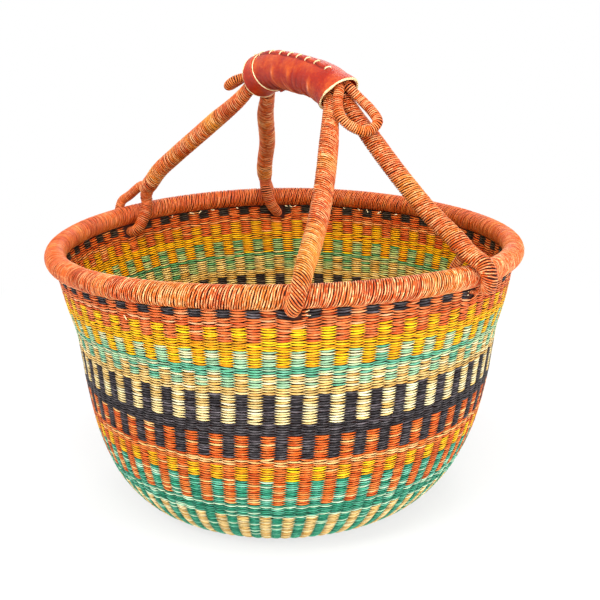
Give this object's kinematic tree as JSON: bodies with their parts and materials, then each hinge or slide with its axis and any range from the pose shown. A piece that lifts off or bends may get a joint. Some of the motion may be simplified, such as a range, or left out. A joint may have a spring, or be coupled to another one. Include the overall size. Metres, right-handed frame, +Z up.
{
  "type": "woven market basket",
  "caption": "Round straw market basket with a wrapped rim, a four-legged arched handle looped through the wall and a laced leather grip.",
  "frame": {"origin": "middle of the flat underside of the woven base, under the middle of the rim, on the surface the basket stands on", "axes": "+Z up out of the mouth, -Y towards the front foot of the handle, +X to the right as seen from the front"},
  "size_m": [0.3938, 0.3958, 0.3731],
  "materials": {
    "natural_straw": "matte",
    "green_straw": "matte",
    "orange_straw": "matte",
    "black_straw": "matte",
    "mint_straw": "matte",
    "yellow_straw": "matte",
    "rust_straw": "matte",
    "wrapping_straw": "matte",
    "grass_bundle": "matte",
    "grip_leather": "satin",
    "natural_thread": "matte"
  },
  "bodies": {
    "basket": {"woven_base": "natural_straw", "weave_green": "green_straw", "weave_orange": "orange_straw", "weave_black": "black_straw", "weave_mint": "mint_straw", "weave_yellow": "yellow_straw", "weave_rust": "rust_straw", "rim_core": "grass_bundle", "rim_wrap": "wrapping_straw"},
    "handle": {"leg_front": "wrapping_straw", "leg_right": "wrapping_straw", "leg_left": "wrapping_straw", "leg_back": "wrapping_straw", "foot_loop_front": "wrapping_straw", "foot_loop_right": "wrapping_straw", "foot_loop_left": "wrapping_straw", "foot_loop_back": "wrapping_straw", "ear_loop_right": "wrapping_straw", "ear_loop_left": "wrapping_straw", "grip_core": "grass_bundle", "leather_sleeve": "grip_leather", "leather_collar": "grip_leather", "seam_ridge": "grip_leather", "seam_thread": "natural_thread"}
  },
  "joints": [
    {"name": "handle_lift", "type": "slide", "parent": "basket", "child": "handle", "axis": [0, 0, 1], "range_m": [0, 0.0018]}
  ]
}
